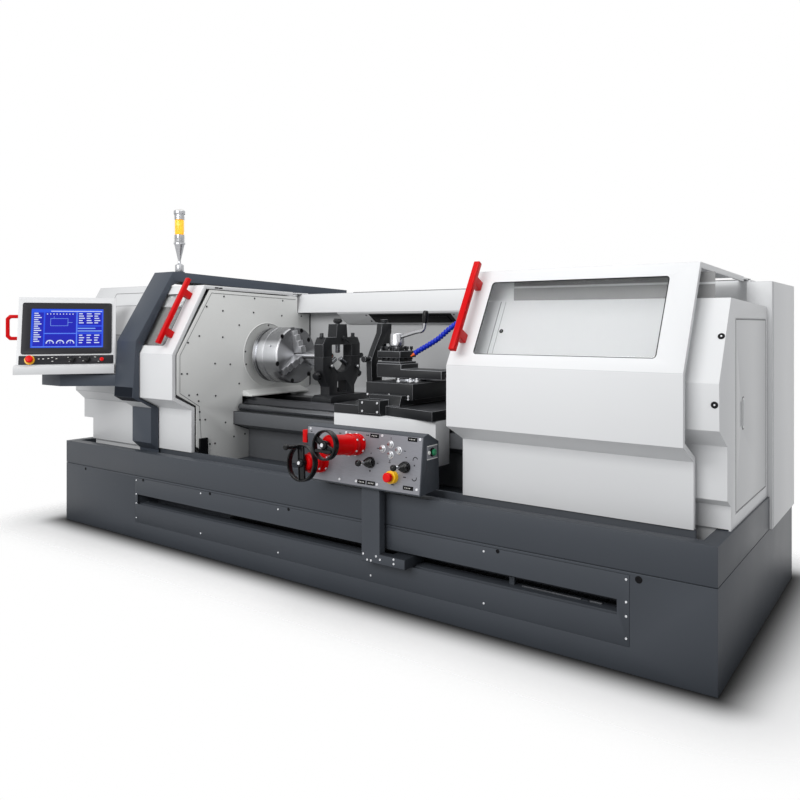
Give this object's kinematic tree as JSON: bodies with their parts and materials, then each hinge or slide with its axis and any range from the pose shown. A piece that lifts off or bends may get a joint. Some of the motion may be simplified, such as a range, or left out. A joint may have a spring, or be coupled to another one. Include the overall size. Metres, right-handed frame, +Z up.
{
  "type": "cnc turning lathe",
  "caption": "Flat-bed turning lathe with chuck, steady rest, sliding guard doors, saddle with hand controls and swivelling panel.",
  "frame": {"origin": "on the floor, below the centre of the base's footprint", "axes": "+X along the bed from headstock to tailstock, -Y towards the operator, +Z up"},
  "size_m": [3.93, 1.9763, 1.938],
  "materials": {
    "slate_paint": "satin",
    "white_paint": "satin",
    "wall_grey": "satin",
    "machined_steel": "satin",
    "bright_steel": "polished",
    "black_casting": "satin",
    "red_paint": "gloss",
    "box_plate": "satin",
    "black_plastic": "matt",
    "red_plastic": "gloss",
    "green_plastic": "gloss",
    "window_glass": "clear",
    "hose_blue": "satin",
    "beacon_lens": "gloss"
  },
  "bodies": {
    "machine": {"base_box": "slate_paint", "slot_plate": "slate_paint", "drag_chain": "black_plastic", "chip_tray": "slate_paint", "bed": "machined_steel", "headstock_housing": "black_casting", "headstock_cover": "white_paint", "arch_frame": "slate_paint", "chuck_wall": "wall_grey", "rear_beam": "white_paint", "back_panel": "white_paint", "right_guard": "white_paint", "rear_cabinet": "white_paint", "beacon": "beacon_lens", "panel_arm": "slate_paint"},
    "screw": {"ball_screw": "machined_steel"},
    "side_door": {"side_door": "white_paint"},
    "cabinet_door": {"cabinet_door": "white_paint"},
    "panel": {"panel_housing": "white_paint", "panel_handle": "red_paint"},
    "panel_stop": {"panel_stop": "red_plastic"},
    "panel_knob_left": {"panel_knob_left": "black_plastic"},
    "panel_knob_right": {"panel_knob_right": "black_plastic"},
    "left_door": {"left_door": "white_paint", "left_door_handle": "red_paint", "left_window": "window_glass"},
    "right_door": {"right_door": "white_paint", "right_door_handle": "red_paint", "right_window": "window_glass"},
    "spindle": {"spindle": "bright_steel", "chuck_body": "bright_steel", "work_bar": "bright_steel"},
    "jaw_1": {"jaw_1": "bright_steel"},
    "jaw_2": {"jaw_2": "bright_steel"},
    "jaw_3": {"jaw_3": "bright_steel"},
    "steady_base": {"steady_base": "black_casting"},
    "steady_cap": {"steady_cap": "black_casting"},
    "steady_finger_1": {"steady_finger_1": "bright_steel"},
    "steady_finger_2": {"steady_finger_2": "bright_steel"},
    "steady_finger_3": {"steady_finger_3": "bright_steel"},
    "saddle": {"saddle": "black_casting", "apron_guard": "white_paint", "coolant_hose": "hose_blue", "follow_rest": "black_casting"},
    "cross_slide": {"cross_slide": "black_casting"},
    "top_slide": {"top_slide": "black_casting"},
    "tool_post": {"tool_post": "black_casting"},
    "clamp_lever": {"clamp_lever": "bright_steel"},
    "carrier": {"carrier_arm": "slate_paint", "control_box": "box_plate"},
    "upper_wheel": {"upper_wheel": "black_plastic"},
    "lower_wheel": {"lower_wheel": "black_plastic"},
    "crank_grip": {"crank_grip": "black_plastic"},
    "joystick_left": {"joystick_left": "black_plastic"},
    "joystick_right": {"joystick_right": "black_plastic"},
    "box_stop": {"box_stop": "red_plastic"},
    "start_button": {"start_button": "green_plastic"},
    "tailstock": {"tailstock": "machined_steel"},
    "quill": {"quill": "bright_steel"},
    "tailstock_wheel": {"tailstock_wheel": "bright_steel"}
  },
  "joints": [
    {"name": "screw_spin", "type": "hinge", "parent": "machine", "child": "screw", "pos_m": [0.44, -0.269, 0.742], "axis": [1, 0, 0], "continuous": true},
    {"name": "side_door_hinge", "type": "hinge", "parent": "machine", "child": "side_door", "pos_m": [1.952, 0.121, 0.9], "axis": [0, 0, 1], "range_deg": [0, 85.94]},
    {"name": "cabinet_door_hinge", "type": "hinge", "parent": "machine", "child": "cabinet_door", "pos_m": [1.44, 0.738, 0.9], "axis": [0, 0, -1], "range_deg": [0, 103.13]},
    {"name": "panel_swivel", "type": "hinge", "parent": "machine", "child": "panel", "pos_m": [-1.583, -0.949, 0.95], "axis": [0, 0, 1], "range_deg": [-40.11, 0]},
    {"name": "panel_stop_press", "type": "slide", "parent": "panel", "child": "panel_stop", "axis": [-0.7823, 0.5417, -0.3074], "range_m": [0, 0.006], "stiffness_N_per_m": 600, "springref_m": -0.004},
    {"name": "panel_knob_left_turn", "type": "hinge", "parent": "panel", "child": "panel_knob_left", "pos_m": [-1.50191, -0.96858, 1.0332], "axis": [0.7823, -0.5417, 0.3074], "range_deg": [-137.51, 137.51]},
    {"name": "panel_knob_right_turn", "type": "hinge", "parent": "panel", "child": "panel_knob_right", "pos_m": [-1.45751, -0.90445, 1.0332], "axis": [0.7823, -0.5417, 0.3074], "range_deg": [-137.51, 137.51]},
    {"name": "left_door_slide", "type": "slide", "parent": "machine", "child": "left_door", "axis": [1, 0, 0], "range_m": [0, 0.43]},
    {"name": "right_door_slide", "type": "slide", "parent": "machine", "child": "right_door", "axis": [-1, 0, 0], "range_m": [0, 1.33]},
    {"name": "spindle_spin", "type": "hinge", "parent": "machine", "child": "spindle", "pos_m": [-0.76, -0.039, 1.05], "axis": [1, 0, 0], "continuous": true},
    {"name": "jaw_1_slide", "type": "slide", "parent": "spindle", "child": "jaw_1", "axis": [0, -0.1736, 0.9848], "range_m": [0, 0.03]},
    {"name": "jaw_2_slide", "type": "slide", "parent": "spindle", "child": "jaw_2", "axis": [0, -0.766, -0.6428], "range_m": [0, 0.03]},
    {"name": "jaw_3_slide", "type": "slide", "parent": "spindle", "child": "jaw_3", "axis": [0, 0.9397, -0.342], "range_m": [0, 0.03]},
    {"name": "steady_slide", "type": "slide", "parent": "machine", "child": "steady_base", "axis": [1, 0, 0], "range_m": [-0.1, 0.1]},
    {"name": "steady_cap_hinge", "type": "hinge", "parent": "steady_base", "child": "steady_cap", "pos_m": [-0.3, 0.142, 1.052], "axis": [-1, 0, 0], "range_deg": [0, 48.7]},
    {"name": "steady_finger_1_slide", "type": "slide", "parent": "steady_cap", "child": "steady_finger_1", "axis": [0, 0, 1], "range_m": [0, 0.05]},
    {"name": "steady_finger_2_slide", "type": "slide", "parent": "steady_base", "child": "steady_finger_2", "axis": [0, -0.866, -0.5], "range_m": [0, 0.05]},
    {"name": "steady_finger_3_slide", "type": "slide", "parent": "steady_base", "child": "steady_finger_3", "axis": [0, 0.866, -0.5], "range_m": [0, 0.05]},
    {"name": "saddle_slide", "type": "slide", "parent": "machine", "child": "saddle", "axis": [1, 0, 0], "range_m": [-0.22, 0.35]},
    {"name": "cross_slide_move", "type": "slide", "parent": "saddle", "child": "cross_slide", "axis": [0, 1, 0], "range_m": [-0.1, 0.08]},
    {"name": "top_slide_move", "type": "slide", "parent": "cross_slide", "child": "top_slide", "axis": [1, 0, 0], "range_m": [-0.03, 0.04]},
    {"name": "tool_post_index", "type": "hinge", "parent": "top_slide", "child": "tool_post", "pos_m": [0.177, -0.099, 1.06], "axis": [0, 0, 1], "range_deg": [-90, 90]},
    {"name": "clamp_lever_turn", "type": "hinge", "parent": "top_slide", "child": "clamp_lever", "pos_m": [0.177, -0.099, 1.15], "axis": [0, 0, 1], "range_deg": [-34.38, 8.59]},
    {"name": "carrier_slide", "type": "slide", "parent": "machine", "child": "carrier", "axis": [1, 0, 0], "range_m": [-0.22, 0.35]},
    {"name": "upper_wheel_turn", "type": "hinge", "parent": "carrier", "child": "upper_wheel", "pos_m": [0.48, -1.01458, 0.73367], "axis": [0, -0.9938, 0.1109], "continuous": true},
    {"name": "lower_wheel_turn", "type": "hinge", "parent": "carrier", "child": "lower_wheel", "pos_m": [0.276, -0.936, 0.62629], "axis": [0, -0.9938, 0.1109], "continuous": true},
    {"name": "crank_grip_turn", "type": "hinge", "parent": "lower_wheel", "child": "crank_grip", "pos_m": [0.24473, -0.95838, 0.69627], "axis": [0, -0.9938, 0.1109], "continuous": true},
    {"name": "joystick_left_tilt", "type": "hinge", "parent": "carrier", "child": "joystick_left", "pos_m": [0.56, -0.81185, 0.64061], "axis": [1, 0, 0], "range_deg": [-14.32, 14.32], "stiffness_Nm_per_rad": 3},
    {"name": "joystick_right_tilt", "type": "hinge", "parent": "carrier", "child": "joystick_right", "pos_m": [0.745, -0.81185, 0.64061], "axis": [1, 0, 0], "range_deg": [-14.32, 14.32], "stiffness_Nm_per_rad": 3},
    {"name": "box_stop_press", "type": "slide", "parent": "carrier", "child": "box_stop", "axis": [0, 0.9938, -0.1109], "range_m": [0, 0.005], "stiffness_N_per_m": 600, "springref_m": -0.004},
    {"name": "start_button_press", "type": "slide", "parent": "carrier", "child": "start_button", "axis": [-1, 0, 0], "range_m": [0, 0.004], "stiffness_N_per_m": 500, "springref_m": -0.003},
    {"name": "tailstock_slide", "type": "slide", "parent": "machine", "child": "tailstock", "axis": [1, 0, 0], "range_m": [-0.35, 0.15]},
    {"name": "quill_slide", "type": "slide", "parent": "tailstock", "child": "quill", "axis": [-1, 0, 0], "range_m": [0, 0.12]},
    {"name": "tailstock_wheel_turn", "type": "hinge", "parent": "tailstock", "child": "tailstock_wheel", "pos_m": [1.56, -0.039, 1.05], "axis": [1, 0, 0], "range_deg": [0, 8651.66]}
  ],
  "couplings": [
    {"joint": "screw_spin", "follows": "saddle_slide", "rad_per_m": 628.32},
    {"joint": "carrier_slide", "follows": "saddle_slide", "ratio": 1},
    {"joint": "jaw_2_slide", "follows": "jaw_1_slide", "ratio": 1},
    {"joint": "jaw_3_slide", "follows": "jaw_1_slide", "ratio": 1},
    {"joint": "tailstock_wheel_turn", "follows": "quill_slide", "rad_per_m": 1256.6}
  ]
}
